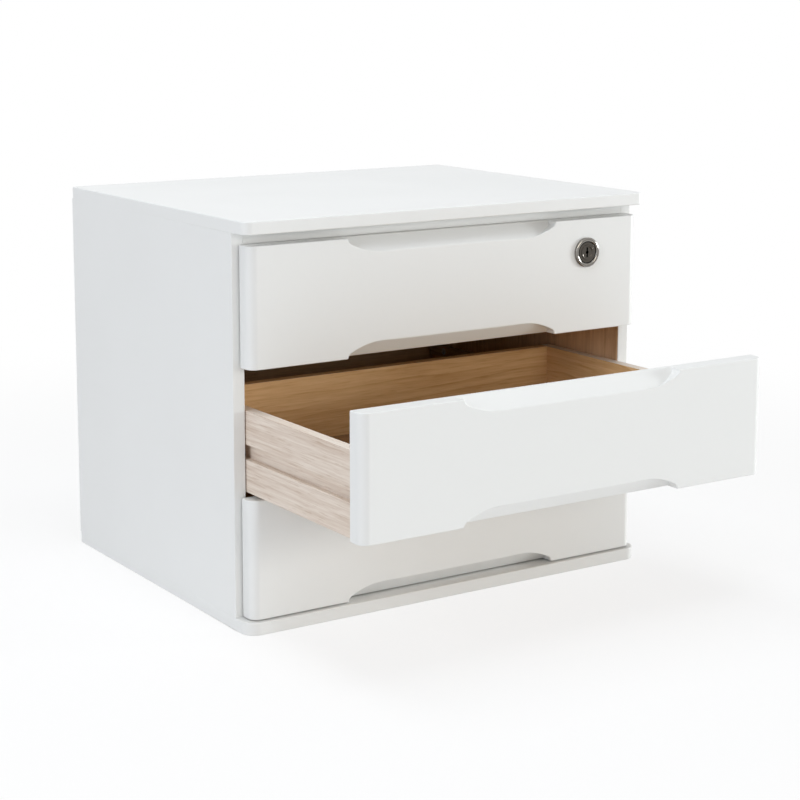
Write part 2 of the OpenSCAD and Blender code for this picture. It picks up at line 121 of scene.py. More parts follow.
class CabinetSizes(bpy.types.PropertyGroup):
    """Small sizes that the finishing gives to the pieces"""

    paint_ease: length("Painted arris", "Width of the rounding along painted edges", 0.0009, 0.0002, 0.002)
    panel_ease: length("Panel arris", "Width of the rounding along the side panels' front edges",
                       0.0006, 0.0002, 0.002)
    wood_ease: length("Wood arris", "Width of the rounding along bare wood edges", 0.0005, 0.0001, 0.001)
    metal_ease: length("Metal arris", "Width of the rounding along metal edges", 0.00016, 0.00005, 0.0004)
    ring_spacing: length("Ring spacing", "Distance between two growth rings", 0.0042, 0.001, 0.02)


class CabinetColours(bpy.types.PropertyGroup):
    """Colours of the finishes"""

    paint: colour("Paint", "White satin paint", (0.80, 0.80, 0.785))
    box_pale: colour("Box wood, pale", "Early wood outside the drawer boxes", (0.78, 0.685, 0.595))
    box_dark: colour("Box wood, dark", "Late wood outside the drawer boxes", (0.50, 0.36, 0.27))
    # Upper edges of the drawer planks: the same wood in lighter tones, which are painted light on the planks'
    # tops.
    edge_painted_light_pale: colour("Plank edge, pale", "Early wood on the drawer boxes' upper edges", (0.90, 0.82, 0.73))
    edge_painted_light_dark: colour("Plank edge, dark", "Late wood on the drawer boxes' upper edges", (0.66, 0.52, 0.41))
    # Inner faces of the drawer planks: the same wood in darker, warmer tones, which are painted shade.
    lining_shade_pale: colour("Lining wood, pale", "Early wood inside the drawer boxes", (0.83, 0.57, 0.31))
    lining_shade_dark: colour("Lining wood, dark", "Late wood inside the drawer boxes", (0.56, 0.32, 0.13))
    # Bare wood inside the cabinet is real; its darker, warmer tones than the drawer wood are painted shade.
    inner_shade_pale: colour("Cabinet wood, pale", "Early wood inside the cabinet", (0.80, 0.54, 0.335))
    inner_shade_dark: colour("Cabinet wood, dark", "Late wood inside the cabinet", (0.46, 0.27, 0.15))
    ply_pale: colour("Plywood, pale", "Early wood of the thin panels", (0.58, 0.42, 0.26))
    ply_dark: colour("Plywood, dark", "Late wood of the thin panels", (0.38, 0.24, 0.13))
    dowel_pale: colour("Hardwood, pale", "Early wood of dowels and runners", (0.62, 0.47, 0.32))
    dowel_dark: colour("Hardwood, dark", "Late wood of dowels and runners", (0.42, 0.28, 0.17))
    lock_metal: colour("Lock metal", "Polished dark plating of the lock's ring", (0.27, 0.255, 0.235))
    lock_core: colour("Lock core", "Darker plating of the lock's face and plug", (0.085, 0.076, 0.066))
    zinc: colour("Zinc", "Zinc plating of the fixings", (0.63, 0.62, 0.60))
    floor: colour("Floor", "Pale floor", (0.93, 0.93, 0.93))


class CabinetStage(bpy.types.PropertyGroup):
    """Lamps and backdrop"""

    top_power: power("Top lamp", "Large soft lamp over the cabinet", 21.5)
    left_power: power("Left lamp", "Soft strip lamp on the left", 18.7)
    front_power: power("Front lamp", "Soft lamp in front", 34.0)
    right_power: power("Right lamp", "Low soft lamp on the right", 116.0)
    sky: FloatProperty(name="Room light", description="Strength of the even light from all round",
                       default=0.35, min=0.0)
    shadow_share: FloatProperty(name="Shadow share", description="How much of its shadow the floor shows",
                                default=0.22, min=0.0, max=1.0)
    floor_width: length("Floor width", "Width of the square floor", 14.0, 2.0, 40.0)
    shadow_reach: length("Shadow reach", "Distance at which the floor has faded into the backdrop",
                         1.1, 0.5, 4.0)


# ---- Mesh work on the pieces ----

def deselect_all():
    bpy.ops.object.select_all(action="DESELECT")


def activate(piece):
    deselect_all()
    piece.select_set(True)
    bpy.context.view_layer.objects.active = piece


def copy_of(node, name):
    """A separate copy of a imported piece, with its loose triangles merged into whole faces."""
    activate(frame["nodes"][node])
    bpy.ops.object.duplicate(linked=False)
    piece = bpy.context.view_layer.objects.active
    bpy.ops.object.parent_clear(type="CLEAR_KEEP_TRANSFORM")
    for key in list(piece.keys()):
        del piece[key]
    piece.name = name
    piece.data.name = name
    bpy.ops.object.mode_set(mode="EDIT")
    bpy.ops.mesh.select_all(action="SELECT")
    bpy.ops.mesh.customdata_custom_splitnormals_clear()
    bpy.ops.mesh.remove_doubles(threshold=WELD)
    bpy.ops.mesh.dissolve_limited(angle_limit=FLAT)
    bpy.ops.mesh.select_all(action="DESELECT")
    bpy.ops.object.mode_set(mode="OBJECT")
    return piece


def cut(piece, point, normal):
    """Adds edges where a plane crosses the piece, and takes nothing away."""
    activate(piece)
    bpy.ops.object.mode_set(mode="EDIT")
    bpy.ops.mesh.select_all(action="SELECT")
    bpy.ops.mesh.bisect(plane_co=point, plane_no=normal)
    bpy.ops.mesh.select_all(action="DESELECT")
    bpy.ops.object.mode_set(mode="OBJECT")


def clear_corners(piece, wanted, reach):
    """Merges each corner that wanted() picks with its vertices closer than an eased edge needs."""
    mesh = bmesh.new()
    mesh.from_mesh(piece.data)
    for place in [corner.co.copy() for corner in mesh.verts if wanted(corner.co)]:
        crowd = [other for other in mesh.verts if (other.co - place).length < reach]
        bmesh.ops.pointmerge(mesh, verts=crowd, merge_co=place)
    mesh.to_mesh(piece.data)
    mesh.free()


def ease(piece, wanted, width, segments=3):
    """Rounds the sharp edges that wanted() picks by their two ends."""
    activate(piece)
    bpy.ops.object.mode_set(mode="EDIT")
    bpy.ops.mesh.select_mode(type="EDGE")
    bpy.ops.mesh.select_all(action="DESELECT")
    mesh = bmesh.from_edit_mesh(piece.data)
    picked = 0
    for edge in mesh.edges:
        if edge.is_manifold and edge.calc_face_angle() > SHARP and wanted(*(v.co for v in edge.verts)):
            edge.select_set(True)
            picked += 1
    bmesh.update_edit_mesh(piece.data)
    if not picked:
        raise RuntimeError(f"{piece.name} has no edge to ease")
    bpy.ops.mesh.bevel(offset=width, segments=segments, profile=0.5, affect="EDGES",
                       clamp_overlap=False, loop_slide=False)
    bpy.ops.mesh.select_all(action="DESELECT")
    bpy.ops.object.mode_set(mode="OBJECT")


def paint_faces(piece, wanted, slot):
    """Gives one of the piece's materials to the faces that wanted() picks by centre and normal."""
    for face in piece.data.polygons:
        if wanted(face.center, face.normal):
            face.material_index = slot


def smooth(piece):
    """Smooth shading that keeps the broad faces flat."""
    activate(piece)
    bpy.ops.object.shade_smooth_by_angle(angle=SMOOTH)
    weights = piece.modifiers.new("flat faces", "WEIGHTED_NORMAL")
    weights.keep_sharp = True
    weights.weight = 100
    bpy.ops.object.modifier_apply(modifier=weights.name)


def finish_piece(piece, node):
    """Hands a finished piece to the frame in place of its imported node."""
    smooth(piece)
    body = frame["nodes"][node]["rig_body"]
    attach(piece, body)
    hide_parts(node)


def set_materials(piece, *materials):
    piece.data.materials.clear()
    for material in materials:
        piece.data.materials.append(material)


def near(a, b):
    return abs(a - b) < NEAR


# ---- Shader building ----

def add_node(tree, kind, inputs=None, **settings):
    """Adds a node, sets its options and fills its sockets with values or links."""
    node = tree.nodes.new(kind)
    for name, value in settings.items():
        setattr(node, name, value)
    for name, value in (inputs or {}).items():
        if isinstance(value, bpy.types.NodeSocket):
            tree.links.new(value, node.inputs[name])
        else:
            node.inputs[name].default_value = value
    return node


def new_group(name, inputs, outputs):
    """An empty shader group with named sockets. Returns the group and its input and output nodes."""
    group = bpy.data.node_groups.new(name, "ShaderNodeTree")
    for in_out, sockets in (("INPUT", inputs), ("OUTPUT", outputs)):
        for socket_name, kind in sockets:
            group.interface.new_socket(name=socket_name, in_out=in_out, socket_type="NodeSocket" + kind)
    return group, group.nodes.new("NodeGroupInput"), group.nodes.new("NodeGroupOutput")


def scaled(tree, vector, scale):
    return add_node(tree, "ShaderNodeVectorMath", {0: vector, 1: scale}, operation="MULTIPLY").outputs[0]


def noise(tree, vector, scale, detail=2.0, roughness=0.5):
    return add_node(tree, "ShaderNodeTexNoise",
                    {"Vector": vector, "Scale": scale, "Detail": detail, "Roughness": roughness},
                    normalize=True).outputs["Fac"]


def spread(tree, value, low, high, to_low=0.0, to_high=1.0):
    return add_node(tree, "ShaderNodeMapRange",
                    {"Value": value, "From Min": low, "From Max": high, "To Min": to_low, "To Max": to_high},
                    interpolation_type="SMOOTHSTEP").outputs[0]


def math_node(tree, operation, a, b=0.0):
    return add_node(tree, "ShaderNodeMath", {0: a, 1: b}, operation=operation).outputs[0]


def mix_colour(tree, factor, a, b, blend="MIX"):
    node = add_node(tree, "ShaderNodeMix", data_type="RGBA", blend_type=blend)
    sockets = {s.identifier: s for s in node.inputs}
    for identifier, value in (("Factor_Float", factor), ("A_Color", a), ("B_Color", b)):
        if isinstance(value, bpy.types.NodeSocket):
            tree.links.new(value, sockets[identifier])
        else:
            sockets[identifier].default_value = value
    return next(s for s in node.outputs if s.identifier == "Result_Color")


def seen_directly(tree):
    """1 where the camera looks, also by reflection or through clear pieces, and 0 for light on its way."""
    path = add_node(tree, "ShaderNodeLightPath").outputs
    seen = math_node(tree, "MAXIMUM", path["Is Camera Ray"], path["Is Glossy Ray"])
    return math_node(tree, "MAXIMUM", seen, path["Is Transmission Ray"])


def ramp(tree, value, stops):
    """A grey level from stops, which are pairs of a place and its level."""
    node = add_node(tree, "ShaderNodeValToRGB", {"Fac": value})
    elements = node.color_ramp.elements
    while len(elements) < len(stops):
        elements.new(0.5)
    for element, (place, level) in zip(elements, stops):
        element.position = place
        element.color = (level, level, level, 1.0)
    return node.outputs["Color"]


def wood_grain_group():
    """Wavy growth rings round the X axis, with streaks, fibres and short dark flecks along it."""
    group, start, end = new_group(
        "Wood Grain",
        [("Vector", "Vector"), ("Pale", "Color"), ("Dark", "Color"), ("Ring Scale", "Float"),
         ("Ring Strength", "Float"), ("Fibre Strength", "Float"), ("Waviness", "Float")],
        [("Color", "Color"), ("Roughness", "Float"), ("Height", "Float")])
    vector = start.outputs["Vector"]
    sway = noise(group, scaled(group, vector, (6.0, 16.0, 16.0)), 1.0, 2.0)
    sway = math_node(group, "MULTIPLY", math_node(group, "SUBTRACT", sway, 0.5), start.outputs["Waviness"])
    shift = add_node(group, "ShaderNodeCombineXYZ", {"Y": sway, "Z": sway}).outputs[0]
    moved = add_node(group, "ShaderNodeVectorMath", {0: scaled(group, vector, (0.05, 1.0, 1.0)), 1: shift},
                     operation="ADD").outputs[0]
    rings = add_node(group, "ShaderNodeTexWave",
                     {"Vector": moved, "Scale": start.outputs["Ring Scale"], "Distortion": 4.0, "Detail": 2.0,
                      "Detail Scale": 0.6, "Detail Roughness": 0.5},
                     wave_type="RINGS", rings_direction="X", wave_profile="SAW").outputs["Fac"]
    late = ramp(group, rings, [(0.0, 0.1), (0.35, 0.0), (0.8, 0.45), (0.94, 1.0), (1.0, 0.1)])
    late = math_node(group, "MULTIPLY", late, spread(group, noise(
        group, scaled(group, vector, (9.0, 60.0, 60.0)), 1.0, 1.0), 0.3, 0.65, 0.25, 1.0))
    fibres = noise(group, scaled(group, vector, (22.0, 620.0, 620.0)), 1.0, 3.0, 0.6)
    streaks = noise(group, scaled(group, vector, (9.0, 190.0, 190.0)), 1.0, 3.0, 0.55)
    patches = noise(group, scaled(group, vector, (4.0, 22.0, 22.0)), 1.0, 1.0)
    flecks = spread(group, noise(group, scaled(group, vector, (48.0, 820.0, 820.0)), 1.0, 1.0), 0.60, 0.70)
    amount = math_node(group, "MULTIPLY", late, start.outputs["Ring Strength"])
    fine = math_node(group, "ADD", math_node(group, "SUBTRACT", fibres, 0.45),
                     math_node(group, "MULTIPLY", flecks, 0.28))
    fine = math_node(group, "MULTIPLY", fine, start.outputs["Fibre Strength"])
    streak = math_node(group, "MULTIPLY", math_node(group, "SUBTRACT", streaks, 0.42), 1.1)
    patch = math_node(group, "MULTIPLY", math_node(group, "SUBTRACT", patches, 0.4), 0.6)
    total = math_node(group, "ADD", math_node(group, "ADD", amount, fine),
                      math_node(group, "ADD", streak, patch))
    clamped = add_node(group, "ShaderNodeClamp", {"Value": total}).outputs[0]
    tone = mix_colour(group, clamped, start.outputs["Pale"], start.outputs["Dark"])
    group.links.new(tone, end.inputs["Color"])
    group.links.new(spread(group, total, 0.0, 1.0, 0.50, 0.68), end.inputs["Roughness"])
    height = math_node(group, "SUBTRACT", fibres, math_node(group, "MULTIPLY", flecks, 0.7))
    group.links.new(math_node(group, "ADD", height, math_node(group, "MULTIPLY", late, 0.5)),
                    end.inputs["Height"])
    return group


def satin_paint_group():
    """Sprayed paint: a faint orange peel, and a sheen and tone that drift a little."""
    group, start, end = new_group(
        "Satin Paint", [("Vector", "Vector"), ("Colour", "Color"), ("Peel Scale", "Float")],
        [("Color", "Color"), ("Roughness", "Float"), ("Height", "Float")])
    vector = start.outputs["Vector"]
    peel = noise(group, vector, start.outputs["Peel Scale"], 2.0)
    drift = noise(group, vector, 7.0, 2.0)
    specks = spread(group, noise(group, vector, 1500.0, 1.0), 0.70, 0.78)
    shade = mix_colour(group, spread(group, drift, 0.3, 0.7, 0.0, 0.035), start.outputs["Colour"],
                       (0.62, 0.61, 0.58, 1.0))
    shade = mix_colour(group, math_node(group, "MULTIPLY", specks, 0.10), shade, (0.55, 0.54, 0.52, 1.0))
    group.links.new(shade, end.inputs["Color"])
    group.links.new(spread(group, drift, 0.3, 0.7, 0.36, 0.46), end.inputs["Roughness"])
    group.links.new(math_node(group, "ADD", peel, math_node(group, "MULTIPLY", specks, 0.25)),
                    end.inputs["Height"])
    return group


def worked_metal_group():
    """Plated metal with fine marks along X and a dull bloom in patches."""
    group, start, end = new_group(
        "Worked Metal",
        [("Vector", "Vector"), ("Colour", "Color"), ("Bloom", "Color"), ("Marks", "Float"),
         ("Polish", "Float")],
        [("Color", "Color"), ("Roughness", "Float"), ("Height", "Float")])
    vector = start.outputs["Vector"]
    marks = noise(group, scaled(group, vector, (120.0, 4200.0, 4200.0)), 1.0, 2.0)
    bloom = spread(group, noise(group, vector, 260.0, 3.0), 0.45, 0.72)
    tone = mix_colour(group, math_node(group, "MULTIPLY", bloom, 0.35), start.outputs["Colour"],
                      start.outputs["Bloom"])
    group.links.new(tone, end.inputs["Color"])
    rough = math_node(group, "ADD", math_node(group, "MULTIPLY", marks, start.outputs["Marks"]),
                      math_node(group, "MULTIPLY", bloom, 0.06))
    group.links.new(math_node(group, "ADD", rough, start.outputs["Polish"]), end.inputs["Roughness"])
    group.links.new(marks, end.inputs["Height"])
    return group


def finish_material(name, group, values, turn=None, offset=(0.0, 0.0, 0.0), tilt=0.0, bump=0.1,
                    depth=0.0002, shader=None):
    """A Principled material fed by one of the groups, on the piece's own coordinates."""
    material = bpy.data.materials.new(name)
    material.use_nodes = True
    tree = material.node_tree
    tree.nodes.clear()
    place = add_node(tree, "ShaderNodeTexCoord").outputs["Object"]
    if turn is not None:
        lean = Matrix.Rotation(tilt, 3, "Y")
        angles = (lean @ turn).to_euler("XYZ")
        place = add_node(tree, "ShaderNodeMapping",
                         {"Vector": place, "Location": offset, "Rotation": angles}).outputs[0]
    effect = add_node(tree, "ShaderNodeGroup", node_tree=group)
    tree.links.new(place, effect.inputs["Vector"])
    for socket, value in values.items():
        effect.inputs[socket].default_value = value
    raised = add_node(tree, "ShaderNodeBump",
                      {"Strength": bump, "Distance": depth, "Height": effect.outputs["Height"]})
    bsdf = add_node(tree, "ShaderNodeBsdfPrincipled",
                    {"Base Color": effect.outputs["Color"], "Roughness": effect.outputs["Roughness"],
                     "Normal": raised.outputs["Normal"], **(shader or {})})
    out = add_node(tree, "ShaderNodeOutputMaterial")
    tree.links.new(bsdf.outputs["BSDF"], out.inputs["Surface"])
    return material


def build_materials(scene):
    """All finishes of the cabinet, by name."""
    tones, sizes = scene.cabinet_colours, scene.cabinet_sizes
    wood, paint, metal = wood_grain_group(), satin_paint_group(), worked_metal_group()
    ring_scale = math.tau / 20.0 / sizes.ring_spacing    # a wave texture has a ring every tau / 20 / scale

    def wooden(name, pale, dark, turn, offset, tilt=0.03, rings=0.5, fibre=0.8, scale=1.0, wave=0.0):
        values = {"Pale": pale, "Dark": dark, "Ring Scale": ring_scale * scale,
                  "Ring Strength": rings, "Fibre Strength": fibre, "Waviness": wave}
        return finish_material(name, wood, values, turn, offset, tilt, 0.35, 0.00025,
                               {"Specular IOR Level": 0.1})

    return {
        "paint": finish_material("white satin paint", paint, {"Colour": tones.paint, "Peel Scale": 620.0},
                                 bump=0.05, depth=0.0002,
                                 shader={"Coat Weight": 0.12, "Coat Roughness": 0.22}),
        "side": wooden("drawer side wood", tones.box_pale, tones.box_dark, GRAIN_Y, (0.0, 0.02, 0.055),
                       rings=0.24, fibre=1.05),
        "back": wooden("drawer back wood", tones.box_pale, tones.box_dark, GRAIN_X, (0.03, -0.01, 0.06),
                       rings=0.24, fibre=1.05),
        # Upper edges of the drawer sides, in lighter tones that paint in the light falling on them.
        "side_edge_painted_light": wooden("drawer side edge, painted light", tones.edge_painted_light_pale, tones.edge_painted_light_dark, GRAIN_Y_FLAT,
                            (0.0, 0.02, 0.055), rings=0.18),
        # Inner faces of the drawer sides and backs, in darker, warmer tones that paint in the shade inside
        # the box.
        "side_lining_shade": wooden("drawer side, painted shade", tones.lining_shade_pale, tones.lining_shade_dark, GRAIN_Y,
                              (0.0, 0.02, 0.055), scale=0.45, wave=0.03),
        "back_lining_shade": wooden("drawer back, painted shade", tones.lining_shade_pale, tones.lining_shade_dark, GRAIN_X,
                              (0.03, -0.01, 0.06), scale=0.45, wave=0.03),
        # Bare wood inside the cabinet, whose darker, warmer tones are painted shade.
        "inner_side": wooden("cabinet side wood", tones.inner_shade_pale, tones.inner_shade_dark, GRAIN_Z,
                             (0.0, 0.03, 0.05), scale=0.22, wave=0.02, rings=0.4),
        "inner_flat": wooden("cabinet board wood", tones.inner_shade_pale, tones.inner_shade_dark, GRAIN_X_FLAT,
                             (0.0, 0.03, 0.08), scale=0.5, wave=0.02, rings=0.3),
        "inner_back": wooden("cabinet back wood", tones.inner_shade_pale, tones.inner_shade_dark, GRAIN_X,
                             (0.0, 0.03, 0.05), scale=0.5, wave=0.02, rings=0.3),
        "ply": wooden("thin plywood", tones.ply_pale, tones.ply_dark, GRAIN_X_FLAT, (0.0, 0.02, 0.09),
                      tilt=0.06, scale=0.5),
        "runner": wooden("runner hardwood", tones.dowel_pale, tones.dowel_dark, GRAIN_Y,
                         (0.0, 0.01, 0.04), scale=1.6, rings=0.5),
        "dowel": wooden("dowel hardwood", tones.dowel_pale, tones.dowel_dark, GRAIN_Z,
                        (0.0, 0.01, 0.04), scale=1.6, rings=0.4),
        "lock": finish_material("polished dark plating", metal,
                                {"Colour": tones.lock_metal, "Bloom": (0.20, 0.17, 0.14, 1.0),
                                 "Marks": 0.05, "Polish": 0.09},
                                GRAIN_X, bump=0.02, depth=0.00005, shader={"Metallic": 1.0}),
        "lock_core": finish_material("dark plating", metal,
                                     {"Colour": tones.lock_core, "Bloom": (0.07, 0.06, 0.05, 1.0),
                                      "Marks": 0.08, "Polish": 0.13},
                                     GRAIN_X, bump=0.02, depth=0.00005, shader={"Metallic": 1.0}),
        # Near-black finish for the groove round the lock's core, which paints in the shade down in it.
        "lock_groove_shade": finish_material("painted shade in lock groove", metal,
                                       {"Colour": (0.012, 0.011, 0.010, 1.0),
                                        "Bloom": (0.02, 0.018, 0.015, 1.0),
                                        "Marks": 0.1, "Polish": 0.5},
                                       GRAIN_X, bump=0.02, depth=0.00005),
        "zinc": finish_material("zinc plating", metal,
                                {"Colour": tones.zinc, "Bloom": (0.50, 0.49, 0.43, 1.0),
                                 "Marks": 0.18, "Polish": 0.24},
                                GRAIN_Y, bump=0.05, depth=0.00005, shader={"Metallic": 1.0}),
    }


FINISHES = {}


def finishes(scene):
    if not FINISHES:
        FINISHES.update(build_materials(scene))
    return FINISHES


# ---- Operators ----

class CABINET_OT_stage(bpy.types.Operator):
    """Sets the camera, the soft lamps, the pale floor and the white backdrop"""

    bl_idname = "cabinet.stage"
    bl_label = "Stage"

    def execute(self, context):
        stage, scene = context.scene.cabinet_stage, context.scene
        self.add_camera(scene)
        for name, place, target, size, watts, tint in (
            ("top lamp", (-0.3, -0.1, 2.1), (-0.05, -0.05, 0.16), (1.8, 0.7),
             stage.top_power, (0.91, 0.955, 1.0)),
            ("left lamp", (-2.2, -0.8, 1.1), (0.0, 0.0, 0.16), (0.5, 1.6),
             stage.left_power, (0.873, 0.922, 1.0)),
            ("front lamp", (0.6, -5.1, 1.54), (0.0, -0.1, 0.16), (2.4, 1.0),
             stage.front_power, (1.0, 0.93, 0.82)),
            ("right lamp", (4.1, -1.7, 0.44), (0.0, -0.1, 0.12), (1.1, 0.7),
             stage.right_power, (0.92, 0.97, 1.0)),
        ):
            self.add_lamp(name, place, target, size, watts, tint)
        self.add_room_light(scene, stage)
        self.add_floor(scene, stage)
        scene.view_settings.view_transform = "Standard"
        return {"FINISHED"}

    @staticmethod
    def add_camera(scene):
        """The photograph's view: azimuth -32.9, elevation 9.1 degrees, from 1.73 m."""
        side_px, focal_px = 800.0, 1922.0           # the picture's side and the lens's focal length
        centre_x_px, centre_y_px = 378.4, 295.7     # where the view's axis meets the picture
        back = Vector((-0.5368, -0.8286, 0.1588)).normalized()
        right = Vector((0.8393, -0.5437, 0.0)).normalized()
        up = back.cross(right)
        turned = Matrix((right, up, back)).transposed().to_euler()
        bpy.ops.object.camera_add(location=(-0.90433, -1.4346, 0.50741), rotation=turned)
        camera = bpy.context.object
        camera.name = "camera"
        camera.data.sensor_width = 36.0
        camera.data.lens = camera.data.sensor_width * focal_px / side_px
        camera.data.shift_x = 0.5 - centre_x_px / side_px
        camera.data.shift_y = centre_y_px / side_px - 0.5
        camera.data.clip_start, camera.data.clip_end = 0.01, 100.0
        scene.camera = camera

    @staticmethod
    def add_lamp(name, place, target, size, watts, tint):
        """A rectangular lamp that looks at its target."""
        aim = (Vector(place) - Vector(target)).to_track_quat("Z", "Y").to_euler()
        bpy.ops.object.light_add(type="AREA", location=place, rotation=aim)
        lamp = bpy.context.object
        lamp.name = name
        lamp.data.shape = "RECTANGLE"
        lamp.data.size, lamp.data.size_y = size
        lamp.data.energy = watts
        lamp.data.color = tint

    @staticmethod
    def add_room_light(scene, stage):
        world = bpy.data.worlds.new("room light")
        scene.world = world
        world.use_nodes = True
        tree = world.node_tree
        tree.nodes.clear()
        light = add_node(tree, "ShaderNodeBackground", {"Color": WHITE, "Strength": stage.sky})
        backdrop = add_node(tree, "ShaderNodeBackground", {"Color": WHITE, "Strength": 1.0})
        mixed = add_node(tree, "ShaderNodeMixShader",
                         {0: seen_directly(tree), 1: light.outputs[0], 2: backdrop.outputs[0]})
        out = add_node(tree, "ShaderNodeOutputWorld")
        tree.links.new(mixed.outputs[0], out.inputs["Surface"])

    @staticmethod
    def add_floor(scene, stage):
        """A square of floor that keeps the shadow and fades into the white backdrop."""
        deselect_all()
        bpy.ops.mesh.primitive_plane_add(size=stage.floor_width, location=(0.0, 0.0, -0.0002))
        floor = bpy.context.object
        floor.name = "floor"
        bpy.ops.object.transform_apply(location=True)
        material = bpy.data.materials.new("pale floor")
        material.use_nodes = True
        tree = material.node_tree
        tree.nodes.clear()
        place = add_node(tree, "ShaderNodeTexCoord").outputs["Object"]
        away = add_node(tree, "ShaderNodeVectorMath", {0: place}, operation="LENGTH").outputs["Value"]
        far = spread(tree, away, 0.3 * stage.shadow_reach, stage.shadow_reach, 1.0 - stage.shadow_share, 1.0)
        grit = spread(tree, noise(tree, place, 900.0, 2.0), 0.3, 0.7, 0.0, 0.02)
        shade = mix_colour(tree, grit, tuple(scene.cabinet_colours.floor), (0.8, 0.8, 0.8, 1.0))
        lit = add_node(tree, "ShaderNodeBsdfPrincipled",
                       {"Base Color": shade, "Roughness": 0.85, "Specular IOR Level": 0.1})
        backdrop = add_node(tree, "ShaderNodeEmission", {"Color": WHITE, "Strength": 1.0})
        mixed = add_node(tree, "ShaderNodeMixShader",
                         {0: math_node(tree, "MULTIPLY", far, seen_directly(tree)),
                          1: lit.outputs[0], 2: backdrop.outputs[0]})
        out = add_node(tree, "ShaderNodeOutputMaterial")
        tree.links.new(mixed.outputs[0], out.inputs["Surface"])
        set_materials(floor, material)


class CABINET_OT_boards(bpy.types.Operator):
    """Eases the cabinet's boards and panels, paints them outside and leaves them bare inside"""

    bl_idname = "cabinet.boards"
    bl_label = "Cabinet boards"

    def execute(self, context):
        sizes, looks = context.scene.cabinet_sizes, finishes(context.scene)
        panel_low, panel_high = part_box("left_side_panel")
        self.inner_x, self.front_y = -panel_high.x, panel_low.y
        self.rear_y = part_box("back_panel")[0].y
        for node in ("top_board", "bottom_board"):
            self.board(node, sizes.paint_ease, looks)
        for side in SIDES:
            self.side_panel(side + "_side_panel", sizes.panel_ease, looks)
        self.back_panel(looks)
        self.rail(sizes.panel_ease, looks)
        return {"FINISHED"}

    def is_inside(self, place):
        return abs(place.x) < self.inner_x - NEAR and self.front_y < place.y < self.rear_y + NEAR

    def board(self, node, width, looks):
        """A board with eased edges all round its show face, and in front on its other face."""
        low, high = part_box(node)
        show_z, inner_z = (high.z, low.z) if node == "top_board" else (low.z, high.z)
        piece = copy_of(node, "eased_" + node)
        cut(piece, (0.0, self.front_y, 0.0), (0.0, 1.0, 0.0))
        for side in (-1.0, 1.0):
            cut(piece, (side * self.inner_x, 0.0, 0.0), (1.0, 0.0, 0.0))
        def on_outline(p):
            x_in, y_front, y_rear = high.x - abs(p.x), p.y - low.y, high.y - p.y
            return (min(x_in, y_front, y_rear) < NEAR or max(x_in, y_front) < BOARD_CORNER
                    or max(x_in, y_rear) < BOARD_REAR_CORNER)

        def wanted(a, b):
            if not (on_outline(a) and on_outline(b) and near(a.z, b.z)):
                return False
            if near(a.z, show_z):
                return True
            return near(a.z, inner_z) and max(a.y, b.y) < self.front_y + NEAR and not (
                near(a.y, self.front_y) and near(b.y, self.front_y))

        ease(piece, wanted, width)
        set_materials(piece, looks["paint"], looks["inner_flat"])
        # The inner face takes the bare cabinet wood, whose dark warm tone is painted shade.
        paint_faces(piece, lambda c, n: near(c.z, inner_z) and abs(n.z) > SQUARE_ON and self.is_inside(c), 1)
        finish_piece(piece, node)

    def side_panel(self, node, width, looks):
        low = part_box(node)[0]
        piece = copy_of(node, "eased_" + node)
        ease(piece, lambda a, b: near(a.y, low.y) and near(b.y, low.y) and near(a.x, b.x), width)
        set_materials(piece, looks["paint"], looks["inner_side"])
        inward = -1.0 if low.x > 0 else 1.0
        # The inward face takes the bare cabinet wood, whose dark warm tone is painted shade.
        paint_faces(piece, lambda c, n: n.x * inward > SQUARE_ON and near(abs(c.x), self.inner_x), 1)
        finish_piece(piece, node)

    def back_panel(self, looks):
        piece = copy_of("back_panel", "painted_back_panel")
        set_materials(piece, looks["paint"], looks["inner_back"])
        # The inward face takes the bare cabinet wood, whose dark warm tone is painted shade.
        paint_faces(piece, lambda c, n: n.y < -SQUARE_ON, 1)
        finish_piece(piece, "back_panel")

    def rail(self, width, looks):
        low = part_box("front_rail")[0]
        piece = copy_of("front_rail", "eased_front_rail")
        ease(piece, lambda a, b: near(a.z, low.z) and near(b.z, low.z) and abs(a.x - b.x) > LONG_EDGE, width)
        set_materials(piece, looks["paint"])
        finish_piece(piece, "front_rail")


class CABINET_OT_fronts(bpy.types.Operator):
    """Eases and paints the drawer fronts with their finger scoops"""

    bl_idname = "cabinet.fronts"
    bl_label = "Drawer fronts"

    def execute(self, context):
        for level in LEVELS:
            self.front(level, context.scene.cabinet_sizes.paint_ease, finishes(context.scene))
        return {"FINISHED"}

    @staticmethod
    def front(level, width, looks):
        node = level + "_drawer_front"
        low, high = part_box(node)
        piece = copy_of(node, "eased_" + node)
        lock_low, lock_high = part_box("lock_housing")
        lock_mid, lock_r = (lock_low + lock_high) / 2, (lock_high.x - lock_low.x) / 2

        def on_skin(p):
            at_lock = math.hypot(p.x - lock_mid.x, p.z - lock_mid.z) < lock_r
            return not at_lock and (near(p.z, low.z) or near(p.z, high.z) or near(p.y, low.y))

        def scoop_corner(p):
            return abs(p.x) < SCOOP_HALF and (near(p.z, low.z) or near(p.z, high.z))

        clear_corners(piece, scoop_corner, 1.1 * width)
        for x in SCOOP_CUTS:
            cut(piece, (x, 0.0, 0.0), (1.0, 0.0, 0.0))
        ease(piece, lambda a, b: on_skin(a) and on_skin(b), width)
        set_materials(piece, looks["paint"])
        finish_piece(piece, node)


